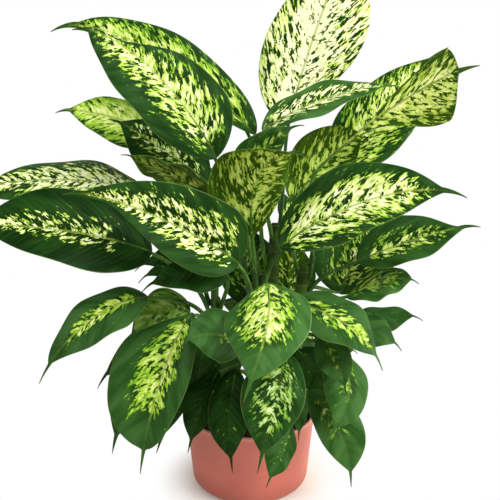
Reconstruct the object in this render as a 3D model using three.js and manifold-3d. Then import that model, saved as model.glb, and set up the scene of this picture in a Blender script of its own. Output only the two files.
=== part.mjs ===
// A variegated dieffenbachia in a plain plastic nursery pot, as closed solids.
// Lengths are in millimetres, +Z is up, and the origin is the centre of the pot's underside.
import * as THREE from 'three';
import { mergeVertices } from 'three/addons/utils/BufferGeometryUtils.js';
import Module from 'manifold-3d';

// Pot and soil
const RIM_RADIUS = 75;
const POT_HEIGHT = 86;
const FOOT_RADIUS = 66.5;
const POT_WALL = 2.4;
const POT_FLOOR = 3;
const LOWER_EDGE_ROUND = 11;
const LIP_HEIGHT = 4;
const LIP_SWELL = 0.8;
const SOIL_TOP = 75;
const SOIL_EDGE_DROP = 3;
const SOIL_CROWN_SHARE = 0.7;
const POT_SIDES = 48;
const LOWER_EDGE_STEPS = 4;

// Clearance between pieces that touch
const SEAT_GAP = 0.3;

// Canes: a ring of every second station is an old leaf scar, a little thicker than the cane.
const CANE_SIDES = 10;
const CANE_HOLE_DEPTH = 45;
const CANE_RINGS = 5;
const RINGS_PER_SCAR = 2;
const SCAR_SWELL = 0.5;
const CANE_END_SHARE = 0.7;
const CANE_END_LENGTH = 5;

// Leaf blades: the outline is full near the base, draws in to the drip tip, and waves along its edges.
const BLADE_THICKNESS = 1.0;
const MIDRIB_DEPTH = 1.7;
const BULGE = 0.07;
const EDGE_WAVE = 2.4;
const EDGE_WAVE_COUNT = 2.5;
const WAVE_STEP_PER_LEAF = 1.7;
const WAVE_STEP_LEFT = 1.3;
const BASE_FULLNESS = 0.62;
const LATE_PEAK = 0.45;
const SHOULDER = 2.2;
const SLIMNESS = [1.15, 1.15];
const BODY_LENGTH = 0.9;
const TAIL_START = 0.86;
const TAIL_SHARE = 0.016;
const TIP_DROOP = 4;
const BASE_HALF_WIDTH = 1.4;
const TIP_HALF_WIDTH = 0.5;
const LONG_LEAF = 130;
const LONG_STATIONS = [0, 0.02, 0.08, 0.19, 0.33, 0.48, 0.62, 0.75, 0.85, 0.92, 1];
const SHORT_STATIONS = [0, 0.03, 0.14, 0.32, 0.52, 0.7, 0.84, 0.92, 1];
const LONG_CROSS_STOPS = [-1, -0.5, 0, 0.5, 1];
const SHORT_CROSS_STOPS = [-1, 0, 1];

// Leaf stalks: shares are of the distance from the stalk's foot to the blade.
const PETIOLE_SIDES = 5;
const PETIOLE_STEPS = 4;
const PETIOLE_FOOT_RADIUS = 2.6;
const PETIOLE_SINK = 0.6;
const FOOT_SINK = 1.6;
const PETIOLE_NECK_RADIUS = 1.7;
const PETIOLE_ROOT = 0.09;
const PETIOLE_LIFT = 0.36;
const PETIOLE_SPREAD = 0.1;
const PETIOLE_APPROACH = 0.35;

// Each cane: where it leaves the soil (x, y), where it ends (x, y, z), and its radius at the two ends.
const CANES = {
  front: { foot: [2, -42], top: [12, -56, 206], radii: [7.5, 6] },
  middle: { foot: [6, -10], top: [10, -24, 252], radii: [8.5, 6.5] },
  left: { foot: [-34, -8], top: [-38, -20, 226], radii: [7.5, 6] },
  right: { foot: [46, -4], top: [62, -8, 262], radii: [8, 6.5] },
  back: { foot: [22, 30], top: [30, 30, 300], radii: [8, 6.5] },
};

// Each leaf: its name, its cane and the height of its stalk's foot; the base, middle and tip of its midrib;
// the widest point of its right and of its left margin, seen from base to tip; how far along each of these
// lies, from 0 to 1; and for a blade of another fullness its slimness on the two sides.
const LEAVES = [
  ['top_left_front', 'middle', 226,
    [-34, -40, 380], [-96, -70, 468], [-162, -95, 504],
    [-21, -32, 435], [-97, -85, 414], [0.2, 0.34], [3.6, 0.66]],
  ['top_left_behind', 'back', 250,
    [6, 25, 401], [-117, 30, 495], [-212, 15, 513],
    [-43, 38, 484], [-49, 0, 434], [0.26, 0.22], [1.25, 1.5]],
  ['left_yellow_behind', 'back', 225,
    [-68, 40, 383], [-150, 45, 417], [-219, 40, 428],
    [-141, 62, 438], [-148, 20, 391], [0.42, 0.42]],
  ['left_dark_under', 'middle', 222,
    [-46, -3, 351], [-97, 0, 388], [-150, -8, 422],
    [-75, 24, 408], [-105, -28, 360], [0.42, 0.42]],
  ['left_olive_edge', 'left', 210,
    [-44, -42, 345], [-87, -58, 368], [-126, -72, 389],
    [-97, -38, 356], [-83, -85, 382], [0.42, 0.42]],
  ['far_left_upper', 'left', 216,
    [-108, -10, 337], [-191, -27, 356], [-299, -48, 347],
    [-188, 8, 372], [-170, -50, 332], [0.38, 0.4], [0.85, 0.45]],
  ['far_left_lower', 'left', 200,
    [-100, -62, 286], [-178, -87, 312], [-278, -108, 323],
    [-178, -62, 349], [-148, -108, 277], [0.42, 0.32], [0.7, 0.75]],
  ['centre_left_front', 'middle', 205,
    [-11, -70, 277], [-94, -110, 333], [-171, -125, 357],
    [-27, -98, 343], [-62, -118, 283], [0.2, 0.24], [1.3, 3]],
  ['central_arch', 'middle', 229,
    [2, -60, 303], [11, -74, 369], [51, -122, 391],
    [-41, -70, 361], [28, -84, 362], [0.35, 0.35]],
  ['central_lit_edge', 'middle', 246,
    [-4, -42, 337], [11, -45, 385], [54, -54, 417],
    [23, -32, 365], [-10, -58, 391], [0.35, 0.35]],
  ['upper_centre_level', 'back', 285,
    [13, 5, 406], [83, 5, 440], [162, 5, 455],
    [74, -25, 424], [54, 27, 449], [0.42, 0.36]],
  ['top_upright', 'back', 291,
    [43, 50, 409], [71, 47, 508], [116, 22, 629],
    [128, 36, 539], [13, 47, 493], [0.57, 0.38]],
  ['upper_right_behind', 'right', 252,
    [99, 30, 361], [154, 45, 432], [219, 40, 499],
    [173, 25, 393], [113, 62, 435], [0.38, 0.33]],
  ['upper_right_curled', 'right', 245,
    [64, -10, 356], [139, -35, 426], [208, -105, 472],
    [194, -62, 488], [196, -94, 423], [0.82, 0.8]],
  ['upper_right_inner', 'right', 238,
    [48, 12, 326], [89, 18, 375], [134, 20, 408],
    [57, 25, 396], [107, 0, 358], [0.45, 0.45]],
  ['right_broad', 'middle', 222,
    [30, -60, 291], [121, -85, 344], [203, -110, 352],
    [95, -105, 307], [77, -48, 365], [0.32, 0.32], [1.15, 1.4]],
  ['right_lower_hook', 'right', 222,
    [117, -15, 265], [181, -25, 293], [243, -35, 311],
    [166, -42, 270], [161, 12, 311], [0.4, 0.36], [1.4, 2.4]],
  ['right_patterned', 'right', 225,
    [107, 28, 216], [130, 45, 265], [171, 50, 315],
    [165, 20, 250], [74, 47, 246], [0.42, 0.42]],
  ['right_small_upper', 'right', 205,
    [108, -5, 222], [147, -12, 243], [185, -20, 245],
    [134, -35, 227], [164, 15, 253], [0.42, 0.5], [0.95, 0.95]],
  ['right_plain_upper', 'right', 190,
    [101, 35, 176], [156, 40, 188], [206, 35, 185],
    [159, 18, 173], [161, 57, 193], [0.45, 0.56]],
  ['right_plain_lower', 'right', 182,
    [97, 0, 191], [138, 0, 182], [173, -5, 162],
    [130, -18, 169], [151, 15, 191], [0.45, 0.45]],
  ['centre_right_front', 'front', 187,
    [40, -80, 238], [93, -108, 224], [129, -118, 184],
    [70, -130, 217], [91, -85, 245], [0.38, 0.42]],
  ['right_olive_sliver', 'right', 150,
    [70, -50, 194], [93, -62, 185], [112, -70, 183],
    [91, -78, 178], [99, -42, 188], [0.4, 0.4]],
  ['centre_mottled', 'back', 192,
    [50, 46, 204], [47, 50, 240], [57, 55, 290],
    [17, 53, 237], [76, 51, 245], [0.4, 0.4]],
  ['front_centre', 'front', 200,
    [17, -75, 257], [15, -140, 229], [-6, -185, 181],
    [-24, -118, 225], [59, -118, 238], [0.32, 0.32]],
  ['left_front_grey', 'front', 180,
    [-8, -85, 194], [-37, -112, 215], [-65, -135, 214],
    [-29, -92, 235], [-35, -125, 193], [0.38, 0.38]],
  ['front_lower_cream', 'front', 165,
    [35, -105, 194], [24, -148, 161], [7, -160, 98],
    [-8, -150, 160], [52, -138, 162], [0.45, 0.45]],
  ['front_small_low', 'front', 134,
    [41, -100, 114], [31, -122, 92], [16, -130, 65],
    [15, -128, 97], [44, -118, 94], [0.45, 0.45]],
  ['front_tip_low', 'front', 127,
    [56, -70, 137], [53, -85, 117], [50, -92, 96],
    [44, -85, 123], [60, -85, 122], [0.4, 0.4]],
  ['right_front_upper', 'front', 168,
    [72, -75, 200], [88, -98, 181], [95, -110, 154],
    [66, -98, 183], [100, -100, 189], [0.4, 0.4]],
  ['right_front_broad', 'front', 160,
    [88, -55, 184], [102, -88, 147], [76, -108, 101],
    [75, -95, 150], [122, -85, 141], [0.45, 0.52]],
  ['right_front_long', 'front', 150,
    [59, -55, 132], [93, -82, 99], [106, -95, 45],
    [72, -85, 93], [118, -82, 104], [0.48, 0.48], [0.95, 0.95]],
  ['right_olive_behind', 'front', 155,
    [53, -30, 169], [68, -42, 150], [85, -52, 119],
    [49, -45, 133], [85, -42, 159], [0.42, 0.42]],
  ['left_drooping', 'left', 188,
    [-106, -62, 239], [-160, -85, 221], [-212, -100, 163],
    [-167, -66, 238], [-136, -105, 212], [0.4, 0.4], [0.7, 1.15]],
  ['left_front_big', 'left', 172,
    [-60, -60, 221], [-88, -95, 167], [-112, -110, 69],
    [-143, -95, 154], [-61, -112, 165], [0.54, 0.48], [0.54, 0.54]],
  ['left_behind_low', 'left', 138,
    [-58, -45, 197], [-75, -72, 140], [-98, -88, 80],
    [-96, -75, 149], [-60, -72, 140], [0.42, 0.42]],
  ['left_behind_tip', 'left', 124,
    [-91, -45, 191], [-123, -72, 138], [-145, -85, 78],
    [-141, -75, 143], [-103, -75, 139], [0.45, 0.45]],
  ['left_hair_tip', 'left', 110,
    [-94, -20, 198], [-128, -38, 176], [-166, -48, 135],
    [-131, -35, 187], [-118, -42, 159], [0.4, 0.4]],
  ['left_olive_back', 'left', 152,
    [-65, -32, 211], [-98, -44, 217], [-134, -56, 183],
    [-93, -24, 237], [-104, -66, 198], [0.4, 0.4]],
  ['left_under_dark', 'left', 203,
    [-23, -55, 263], [-64, -80, 270], [-108, -88, 254],
    [-63, -68, 281], [-59, -98, 255], [0.4, 0.4]],
  ['left_small_tip_upper', 'left', 190,
    [-53, 45, 263], [-94, 38, 260], [-134, 30, 247],
    [-93, 50, 269], [-93, 28, 251], [0.35, 0.35]],
  ['left_small_tip_lower', 'left', 204,
    [-50, 6, 255], [-87, 0, 256], [-124, -9, 243],
    [-86, 10, 264], [-86, -10, 247], [0.35, 0.35]],
  ['pot_front_left', 'front', 154,
    [-34, -62, 158], [-49, -85, 126], [-65, -90, 81],
    [-68, -85, 126], [-35, -88, 131], [0.45, 0.45]],
  ['pot_front_mid', 'front', 142,
    [-14, -72, 164], [-21, -95, 119], [-18, -100, 64],
    [-43, -95, 126], [-2, -97, 123], [0.45, 0.45]],
  ['front_left_green', 'front', 172,
    [-24, -42, 173], [-45, -52, 159], [-64, -58, 119],
    [-61, -52, 159], [-28, -48, 141], [0.42, 0.42]],
  ['back_low_left', 'back', 160,
    [-31, 75, 156], [-81, 130, 110], [-121, 170, 57],
    [-98, 130, 141], [-20, 124, 75], [0.4, 0.4]],
  ['back_low_right', 'back', 165,
    [44, 75, 169], [81, 130, 131], [114, 175, 78],
    [97, 130, 107], [54, 135, 143], [0.4, 0.4]],
  ['back_middle', 'back', 190,
    [30, 82, 197], [12, 137, 179], [-6, 190, 110],
    [56, 120, 182], [-37, 124, 176], [0.4, 0.4]],
  ['back_upper_left', 'back', 180,
    [-5, 74, 189], [-4, 100, 238], [-6, 122, 294],
    [34, 104, 253], [-37, 98, 232], [0.38, 0.38]],
  ['back_upper_right', 'back', 268,
    [43, 85, 287], [69, 133, 288], [97, 185, 241],
    [103, 120, 265], [42, 126, 318], [0.4, 0.4]],
];

const wasm = await Module();
wasm.setup();

// Finish of each material: its colour and its roughness.
const POT_PLASTIC = { color: 0xb85c50, roughness: 0.4 };
const POTTING_SOIL = { color: 0x1d1712, roughness: 0.95 };
const GREEN_CANE = { color: 0x5d7d3a, roughness: 0.5 };
const LEAF_GREEN = { color: 0x3f7a33, roughness: 0.35 };

function solidToGeometry(solid) {
  const mesh = solid.getMesh();
  const geometry = new THREE.BufferGeometry();
  geometry.setAttribute('position', new THREE.BufferAttribute(mesh.vertProperties, 3));
  geometry.setIndex(new THREE.BufferAttribute(mesh.triVerts, 1));
  return geometry;
}

function geometryToSolid(geometry) {
  const bare = new THREE.BufferGeometry();
  bare.setAttribute('position', geometry.getAttribute('position').clone());
  if (geometry.index) {
    bare.setIndex(geometry.index.clone());
  }
  const welded = mergeVertices(bare, 1e-4);
  const mesh = new wasm.Mesh({
    numProp: 3,
    vertProperties: new Float32Array(welded.getAttribute('position').array),
    triVerts: new Uint32Array(welded.index.array),
  });
  return new wasm.Manifold(mesh);
}

function namedMesh(name, geometry, finish) {
  const shaded = geometry.index ? geometry.toNonIndexed() : geometry;
  shaded.computeVertexNormals();
  const mesh = new THREE.Mesh(shaded, new THREE.MeshStandardMaterial({ ...finish, metalness: 0 }));
  mesh.name = name;
  return mesh;
}

// The triangles that close a ring: a zigzag between its two halves, so that a thin bent ring closes cleanly.
function ringCap(sides) {
  const triangles = [];
  let low = 0;
  let high = sides - 1;
  while (high - low > 1) {
    triangles.push([low, high, low + 1]);
    low += 1;
    if (high - low > 1) {
      triangles.push([low, high, high - 1]);
      high -= 1;
    }
  }
  return triangles;
}

// Joins rings of equally many points into one closed skin. The second half of each ring is split along the
// mirrored diagonals of the first half, so that a thin blade's two faces have the same creases.
function skinFromRings(rings) {
  const sides = rings[0].length;
  const positions = rings.flat().flatMap((point) => point.toArray());
  const triangles = [];
  for (let ring = 0; ring < rings.length - 1; ring += 1) {
    for (let side = 0; side < sides; side += 1) {
      const a = ring * sides + side;
      const b = ring * sides + ((side + 1) % sides);
      if (side < sides / 2) {
        triangles.push(a, b, a + sides, b, b + sides, a + sides);
      } else {
        triangles.push(a, b, b + sides, a, b + sides, a + sides);
      }
    }
  }
  const last = (rings.length - 1) * sides;
  for (const [a, b, c] of ringCap(sides)) {
    triangles.push(a, b, c, last + a, last + c, last + b);
  }
  const geometry = new THREE.BufferGeometry();
  geometry.setAttribute('position', new THREE.Float32BufferAttribute(positions, 3));
  geometry.setIndex(triangles);
  return geometry;
}

// A round rod along a list of centres, each with its radius; its rings keep square to the path, untwisted.
function rod(centres, radii, sides) {
  const rings = [];
  let across = new THREE.Vector3(1, 0, 0);
  centres.forEach((centre, index) => {
    const before = centres[Math.max(index - 1, 0)];
    const after = centres[Math.min(index + 1, centres.length - 1)];
    const along = after.clone().sub(before).normalize();
    across.addScaledVector(along, -across.dot(along)).normalize();
    const third = along.clone().cross(across);
    const ring = [];
    for (let side = 0; side < sides; side += 1) {
      const angle = (side / sides) * 2 * Math.PI;
      ring.push(centre.clone()
        .addScaledVector(across, radii[index] * Math.cos(angle))
        .addScaledVector(third, radii[index] * Math.sin(angle)));
    }
    rings.push(ring);
  });
  return skinFromRings(rings);
}

function potRadiusAt(height) {
  return FOOT_RADIUS + (RIM_RADIUS - FOOT_RADIUS) * (height / POT_HEIGHT);
}

function insideRadiusAt(height) {
  return potRadiusAt(height) - POT_WALL;
}

function insideFloorRadius() {
  return insideRadiusAt(LOWER_EDGE_ROUND) - LOWER_EDGE_ROUND + POT_FLOOR;
}

// A solid of revolution about the vertical axis, from its outline in radius and height.
function turned(outline) {
  return new THREE.LatheGeometry(outline, POT_SIDES).rotateX(Math.PI / 2);
}

// The pot: a tapered cup with a rounded lower edge, and a lip round its rim.
function pot() {
  const outline = [new THREE.Vector2(0, 0)];
  const centreRadius = potRadiusAt(LOWER_EDGE_ROUND) - LOWER_EDGE_ROUND;
  for (let step = 0; step <= LOWER_EDGE_STEPS; step += 1) {
    const angle = (step / LOWER_EDGE_STEPS) * (Math.PI / 2);
    outline.push(new THREE.Vector2(
      centreRadius + LOWER_EDGE_ROUND * Math.sin(angle),
      LOWER_EDGE_ROUND * (1 - Math.cos(angle)),
    ));
  }
  const lipFoot = POT_HEIGHT - LIP_HEIGHT;
  outline.push(new THREE.Vector2(potRadiusAt(lipFoot), lipFoot));
  outline.push(new THREE.Vector2(potRadiusAt(lipFoot) + LIP_SWELL, lipFoot + LIP_SWELL));
  outline.push(new THREE.Vector2(RIM_RADIUS + LIP_SWELL, POT_HEIGHT - LIP_SWELL));
  outline.push(new THREE.Vector2(RIM_RADIUS, POT_HEIGHT));
  outline.push(new THREE.Vector2(RIM_RADIUS - POT_WALL, POT_HEIGHT));
  outline.push(new THREE.Vector2(insideRadiusAt(LOWER_EDGE_ROUND), LOWER_EDGE_ROUND));
  outline.push(new THREE.Vector2(insideFloorRadius(), POT_FLOOR));
  outline.push(new THREE.Vector2(0, POT_FLOOR));
  return namedMesh('pot', turned(outline), POT_PLASTIC);
}

// A plain upright hole for one cane, open at the top of the soil and running on past it.
function caneHole(cane) {
  const radius = cane.radii[0] + SEAT_GAP;
  const height = 2 * CANE_HOLE_DEPTH;
  return new THREE.CylinderGeometry(radius, radius, height, 2 * CANE_SIDES)
    .rotateX(Math.PI / 2)
    .translate(cane.foot[0], cane.foot[1], SOIL_TOP);
}

// The potting soil fills the pot to a little below its rim, and falls off gently towards the wall.
function soil() {
  const outline = [
    new THREE.Vector2(0, POT_FLOOR + SEAT_GAP),
    new THREE.Vector2(insideFloorRadius() - 2 * SEAT_GAP, POT_FLOOR + SEAT_GAP),
    new THREE.Vector2(insideRadiusAt(LOWER_EDGE_ROUND) - 2 * SEAT_GAP, LOWER_EDGE_ROUND),
    new THREE.Vector2(insideRadiusAt(SOIL_TOP) - 2 * SEAT_GAP, SOIL_TOP - SOIL_EDGE_DROP),
    new THREE.Vector2(insideRadiusAt(SOIL_TOP) * SOIL_CROWN_SHARE, SOIL_TOP),
    new THREE.Vector2(0, SOIL_TOP),
  ];
  let body = geometryToSolid(turned(outline));
  for (const cane of Object.values(CANES)) {
    body = body.subtract(geometryToSolid(caneHole(cane)));
  }
  return namedMesh('soil', solidToGeometry(body), POTTING_SOIL);
}

// The cane's middle line: upright in the soil, then leaning by the square of the height gained.
function caneCentre(cane, height) {
  const rise = Math.max(height - SOIL_TOP, 0) / (cane.top[2] - SOIL_TOP);
  return new THREE.Vector3(
    cane.foot[0] + (cane.top[0] - cane.foot[0]) * rise * rise,
    cane.foot[1] + (cane.top[1] - cane.foot[1]) * rise * rise,
    height,
  );
}

function caneRadius(cane, height) {
  const rise = Math.min(Math.max(height - SOIL_TOP, 0) / (cane.top[2] - SOIL_TOP), 1);
  return cane.radii[0] + (cane.radii[1] - cane.radii[0]) * rise;
}

// The cane's skin, grown outward by a given amount: it tapers upward, swells a little at each old leaf scar
// and ends in a blunt point.
function caneSkin(cane, growth) {
  const heights = [SOIL_TOP - CANE_HOLE_DEPTH + SEAT_GAP, SOIL_TOP];
  const shoulder = cane.top[2] - CANE_END_LENGTH;
  for (let ring = 1; ring <= CANE_RINGS; ring += 1) {
    heights.push(SOIL_TOP + ((shoulder - SOIL_TOP) * ring) / CANE_RINGS);
  }
  const radii = heights.map((height) => caneRadius(cane, height) + growth);
  for (let ring = RINGS_PER_SCAR; ring < heights.length; ring += RINGS_PER_SCAR) {
    radii[ring] += SCAR_SWELL;
  }
  heights.push(cane.top[2]);
  radii.push(cane.radii[1] * CANE_END_SHARE + growth);
  const centres = heights.map((height) => caneCentre(cane, height));
  return rod(centres, radii, CANE_SIDES);
}

// The midrib is a parabola through the base, the middle and the tip, whose last part droops a little more;
// u runs along it from 0 to 1.
function midribPoint(leaf, u) {
  const [base, middle, tip] = leaf.midrib;
  const bend = middle.clone().multiplyScalar(2).addScaledVector(base, -0.5).addScaledVector(tip, -0.5);
  const point = base.clone().multiplyScalar((1 - u) ** 2)
    .addScaledVector(bend, 2 * u * (1 - u))
    .addScaledVector(tip, u * u);
  point.z -= TIP_DROOP * (Math.max(u - TAIL_START, 0) / (1 - TAIL_START)) ** 2;
  return point;
}

function midribDirection(leaf, u) {
  const step = 0.01;
  const before = midribPoint(leaf, Math.max(u - step, 0));
  const after = midribPoint(leaf, Math.min(u + step, 1));
  return after.sub(before).normalize();
}

// 1 where that side of the blade is widest: it falls off steeply to the base and gently to the drip tip.
function outlineShape(leaf, u, side) {
  const peak = side > 0 ? leaf.widest[0] : leaf.widest[1];
  if (u < peak) {
    return (1 - (1 - u / peak) ** 2) ** (BASE_FULLNESS * Math.max(1, peak / LATE_PEAK) ** 4);
  }
  const ahead = Math.min((u - peak) / (BODY_LENGTH - peak), 1);
  return (1 - ahead ** SHOULDER) ** (side > 0 ? leaf.slimness[0] : leaf.slimness[1]);
}

// The least half width: the neck at the base, then the drip tip, which runs out to a thread.
function leastHalfWidth(leaf, u) {
  const tail = Math.min((1 - u) / (1 - TAIL_START), 1);
  return u < 0.5 ? BASE_HALF_WIDTH : TIP_HALF_WIDTH + TAIL_SHARE * leaf.length * tail;
}

// The arm from the midrib to one margin, kept square to the midrib.
function marginArm(leaf, u, side) {
  const edge = side > 0 ? leaf.right : leaf.left;
  const arm = edge.clone().sub(midribPoint(leaf, side > 0 ? leaf.widest[0] : leaf.widest[1]));
  const length = arm.length();
  const along = midribDirection(leaf, u);
  return arm.addScaledVector(along, -arm.dot(along)).setLength(length);
}

function bladeNormal(leaf, u) {
  const across = marginArm(leaf, u, 1).sub(marginArm(leaf, u, -1));
  return across.cross(midribDirection(leaf, u)).normalize();
}

// A point of the blade's middle surface: u runs from base to tip, v from left (-1) to right (1).
function bladePoint(leaf, u, v) {
  const arm = marginArm(leaf, u, v);
  const reach = Math.max(outlineShape(leaf, u, v) * arm.length(), leastHalfWidth(leaf, u));
  const across = Math.abs(v);
  const bulge = BULGE * reach * 4 * across * (1 - across);
  const phase = 2 * Math.PI * EDGE_WAVE_COUNT * u + leaf.phase + (v > 0 ? 0 : WAVE_STEP_LEFT);
  const wave = EDGE_WAVE * outlineShape(leaf, u, v) * across * across * Math.sin(phase);
  return midribPoint(leaf, u)
    .addScaledVector(arm.normalize(), reach * across)
    .addScaledVector(bladeNormal(leaf, u), bulge + wave);
}

// The blade has alike faces above and below, and the midrib stands out of its underside.
function blade(leaf) {
  const isLong = leaf.length > LONG_LEAF;
  const crossStops = isLong ? LONG_CROSS_STOPS : SHORT_CROSS_STOPS;
  const rings = (isLong ? LONG_STATIONS : SHORT_STATIONS).map((u) => {
    const normal = bladeNormal(leaf, u);
    const top = crossStops.map((v) => bladePoint(leaf, u, v).addScaledVector(normal, BLADE_THICKNESS / 2));
    const under = crossStops.map((v) => {
      const rib = v === 0 ? MIDRIB_DEPTH * (1 - u) : 0;
      return bladePoint(leaf, u, v).addScaledVector(normal, -BLADE_THICKNESS / 2 - rib);
    });
    return [...top, ...under.reverse()];
  });
  return skinFromRings(rings);
}

function bezier(a, b, c, d, s) {
  const r = 1 - s;
  return a.clone().multiplyScalar(r * r * r)
    .addScaledVector(b, 3 * r * r * s)
    .addScaledVector(c, 3 * r * s * s)
    .addScaledVector(d, s * s * s);
}

// The leaf stalk: it starts upward beside its cane, and its end is sunk into the underside of the midrib.
function petiole(leaf) {
  const cane = CANES[leaf.cane];
  const centre = caneCentre(cane, leaf.footHeight);
  const root = midribPoint(leaf, PETIOLE_ROOT)
    .addScaledVector(bladeNormal(leaf, PETIOLE_ROOT), -MIDRIB_DEPTH * PETIOLE_SINK);
  const base = leaf.midrib[0];
  const outward = new THREE.Vector3(base.x - centre.x, base.y - centre.y, 0).normalize();
  const seat = caneRadius(cane, leaf.footHeight) + PETIOLE_FOOT_RADIUS - FOOT_SINK;
  const foot = centre.clone().addScaledVector(outward, seat);
  const span = foot.distanceTo(root);
  const lift = foot.clone().addScaledVector(outward, span * PETIOLE_SPREAD);
  lift.z += span * PETIOLE_LIFT;
  const approach = root.clone().addScaledVector(midribDirection(leaf, 0.02), -span * PETIOLE_APPROACH);
  const centres = [];
  const radii = [];
  for (let step = 0; step <= PETIOLE_STEPS; step += 1) {
    const s = step / PETIOLE_STEPS;
    centres.push(bezier(foot, lift, approach, root, s));
    radii.push(PETIOLE_FOOT_RADIUS + (PETIOLE_NECK_RADIUS - PETIOLE_FOOT_RADIUS) * s);
  }
  return rod(centres, radii, PETIOLE_SIDES);
}

// A leaf is one piece: its blade with its stalk, whose foot is hollowed to lie against the cane.
function leafMesh(row, index) {
  const [name, cane, footHeight, base, middle, tip, right, left, widest, slimness = SLIMNESS] = row;
  const midrib = [base, middle, tip].map((point) => new THREE.Vector3(...point));
  const leaf = {
    cane,
    footHeight,
    midrib,
    length: midrib[0].distanceTo(midrib[1]) + midrib[1].distanceTo(midrib[2]),
    right: new THREE.Vector3(...right),
    left: new THREE.Vector3(...left),
    widest,
    slimness,
    phase: index * WAVE_STEP_PER_LEAF,
  };
  const solid = geometryToSolid(blade(leaf))
    .add(geometryToSolid(petiole(leaf)))
    .subtract(geometryToSolid(caneSkin(CANES[cane], SEAT_GAP)));
  return namedMesh(`leaf_${name}`, solidToGeometry(solid), LEAF_GREEN);
}

const plant = new THREE.Group();
plant.name = 'potted_dieffenbachia';
plant.add(pot(), soil());
for (const [name, cane] of Object.entries(CANES)) {
  plant.add(namedMesh(`cane_${name}`, caneSkin(cane, 0), GREEN_CANE));
}
LEAVES.forEach((row, index) => plant.add(leafMesh(row, index)));

export default plant;
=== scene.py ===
"""A variegated dieffenbachia in a plain plastic nursery pot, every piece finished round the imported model.

The frame is the model's own: +Z up, the origin at the centre of the pot's underside. Leaves, canes, soil and
pot are worked out as surfaces, in millimetres, from the same sizes as the solids that they stand for, and
become meshes in metres. Where a place along a leaf is a share, 0 is its base and 1 its tip.
"""
import math

import bpy
import numpy as np
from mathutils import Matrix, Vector


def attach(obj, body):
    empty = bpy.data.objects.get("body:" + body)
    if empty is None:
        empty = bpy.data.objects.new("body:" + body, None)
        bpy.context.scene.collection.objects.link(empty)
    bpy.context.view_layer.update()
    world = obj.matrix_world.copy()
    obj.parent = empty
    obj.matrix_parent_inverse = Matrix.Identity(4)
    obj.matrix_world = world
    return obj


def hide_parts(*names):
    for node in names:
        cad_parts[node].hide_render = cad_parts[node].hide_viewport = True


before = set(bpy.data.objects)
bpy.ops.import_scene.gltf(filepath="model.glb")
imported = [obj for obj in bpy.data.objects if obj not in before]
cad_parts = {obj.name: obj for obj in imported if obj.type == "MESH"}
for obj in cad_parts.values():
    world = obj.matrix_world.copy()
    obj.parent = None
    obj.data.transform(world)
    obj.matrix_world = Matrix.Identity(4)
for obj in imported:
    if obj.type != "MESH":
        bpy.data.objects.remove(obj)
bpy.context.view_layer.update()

MM = 0.001

# ---- sizes: millimetres, shares of a length, radians and powers

# The pot.
RIM_RADIUS = 75
POT_HEIGHT = 86
FOOT_RADIUS = 66.5
POT_WALL = 2.4
POT_FLOOR = 3
EDGE_ROUND = 11
LIP_HEIGHT = 4
LIP_SWELL = 0.8
LIP_SIDE = (83, 84.4)
OUTER_ROUND = 1.2
INNER_ROUND = 1
POT_CENTRE_RING = 4
POT_SIDES = 144
SEAT_GAP = 0.3

# The soil, with the lumps of its top by width and height, and its crumbs.
SOIL_TOP = 75
SOIL_EDGE_DROP = 3
SOIL_EDGE_START = 0.7
SOIL_CENTRE_RING = 3
SOIL_TOP_RINGS = 46
SOIL_SIDES = 120
LUMPS = ((23, 1.2), (11, 0.8), (6, 0.6), (3.4, 0.35))
LUMP_MARGIN = 6
LUMP_SETTLING = 0.4
LUMP_SEED = 4
CRUMB_COUNT = 260
CRUMB_SIZE = (0.7, 2.3)
CRUMB_SEED = 11

# The canes, and the scars that old leaves left on them.
CANE_HOLE_DEPTH = 45
CANE_RINGS = 160
CANE_SIDES = 28
CANE_END_ROUND = 5
CANE_END_TAPER = 0.3
SCAR_SPACING = 15
SCAR_HEIGHT = 0.5
SCAR_WIDTH = 1.1
SCAR_TILT = 1.6
SCAR_TURN = 2.4
SCAR_CLEAR_OF_SOIL = 4

# The blades: their waves, outline, thickness, midrib and side veins.
BULGE = 0.07
EDGE_WAVE = 2.4
EDGE_WAVE_COUNT = 2.5
WAVE_STEP = 1.7
WAVE_STEP_LEFT = 1.3
BASE_FULLNESS = 0.62
LATE_PEAK = 0.45
SHOULDER = 2.2
MIDRIB_STEP = 0.01
BODY_LENGTH = 0.9
TAIL_START = 0.86
TAIL_SHARE = 0.016
TIP_DROOP = 4
BASE_HALF_WIDTH = 1.4
TIP_HALF_WIDTH = 0.3
CENTRE_THICKNESS = 0.9
EDGE_THICKNESS = 0.45
MIDRIB_DEPTH = 1.7
MIDRIB_SPREAD = 1.5
MIDRIB_GROOVE = 0.45
VEIN_SPACING = 8.0
VEIN_RELIEF = 0.12
VEIN_LEAN = 0.75
VEIN_SWEEP = 0.45
VEIN_CLEAR_OF_MIDRIB = 6
VEIN_CLEAR_OF_MARGIN = 0.25

# The blades' meshes: points along, and from midrib to margin. Patterns start a step apart.
LONG_LEAF = 130
LONG_LEAF_GRID = (120, 20)
SHORT_LEAF_GRID = (80, 14)
END_CROWDING = 0.35
MARGIN_CROWDING = 0.9
PATTERN_STEP = 7.3

# Where the cream thins out, as shares of its reach, of the half width and of the leaf's length.
CREAM_LIMIT = 1.4
CREAM_FADE = 0.9
CREAM_THINNING = 0.2
CREAM_OVERRUN = 0.04
CREAM_START_FADE = 0.14
CREAM_END_FADE = 0.22

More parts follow.
